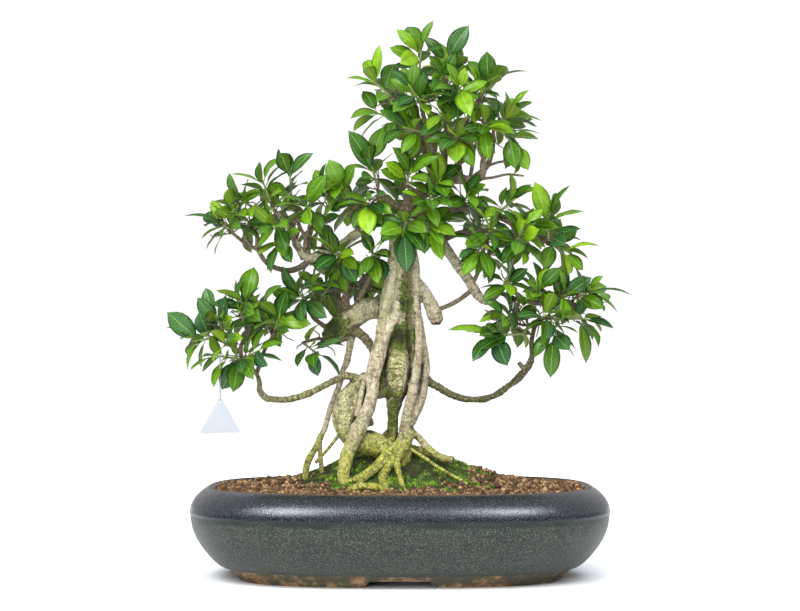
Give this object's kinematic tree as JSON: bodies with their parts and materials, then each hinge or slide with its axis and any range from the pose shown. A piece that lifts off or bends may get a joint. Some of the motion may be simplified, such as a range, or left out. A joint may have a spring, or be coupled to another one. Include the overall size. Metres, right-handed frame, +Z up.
{
  "type": "potted ficus bonsai",
  "caption": "Ficus bonsai with a fused trunk, aerial roots, bare curved branches and layered leafy pads, in a low oval glazed pot with soil and a blank hanging tag.",
  "frame": {"origin": "on the table, under the middle of the pot", "axes": "+X to the viewer's right along the pot's length, +Y to the back, +Z up"},
  "size_m": [0.622, 0.422, 0.7451],
  "materials": {
    "glaze": "gloss",
    "soil": "matte",
    "drain_mesh": "matte",
    "bark": "matte",
    "leaf": "satin",
    "tag": "satin",
    "thread": "gloss"
  },
  "bodies": {
    "root": {"drain_mesh_left": "drain_mesh", "drain_mesh_right": "drain_mesh", "pot": "glaze", "shoot_centre_01": "leaf", "shoot_centre_02": "leaf", "shoot_centre_03": "leaf", "shoot_centre_04": "leaf", "shoot_centre_05": "leaf", "shoot_centre_06": "leaf", "shoot_centre_07": "leaf", "shoot_centre_08": "leaf", "shoot_crown_01": "leaf", "shoot_crown_02": "leaf", "shoot_crown_03": "leaf", "shoot_crown_04": "leaf", "shoot_crown_05": "leaf", "shoot_crown_06": "leaf", "shoot_crown_07": "leaf", "shoot_crown_08": "leaf", "shoot_crown_09": "leaf", "shoot_crown_10": "leaf", "shoot_crown_11": "leaf", "shoot_crown_12": "leaf", "shoot_crown_13": "leaf", "shoot_crown_14": "leaf", "shoot_crown_15": "leaf", "shoot_crown_16": "leaf", "shoot_inner_01": "leaf", "shoot_inner_02": "leaf", "shoot_inner_03": "leaf", "shoot_inner_04": "leaf", "shoot_left_01": "leaf", "shoot_left_02": "leaf", "shoot_left_03": "leaf", "shoot_left_04": "leaf", "shoot_left_05": "leaf", "shoot_left_06": "leaf", "shoot_left_07": "leaf", "shoot_lower_left_01": "leaf", "shoot_lower_left_02": "leaf", "shoot_lower_left_03": "leaf", "shoot_lower_left_04": "leaf", "shoot_lower_left_05": "leaf", "shoot_lower_left_06": "leaf", "shoot_lower_right_01": "leaf", "shoot_lower_right_02": "leaf", "shoot_lower_right_03": "leaf", "shoot_lower_right_04": "leaf", "shoot_lower_right_05": "leaf", "shoot_right_01": "leaf", "shoot_right_02": "leaf", "shoot_right_03": "leaf", "shoot_right_04": "leaf", "shoot_right_05": "leaf", "shoot_right_06": "leaf", "shoot_right_07": "leaf", "soil": "soil", "tag": "tag", "tag_loop": "thread", "trunk_and_branches": "bark"}
  },
  "joints": []
}
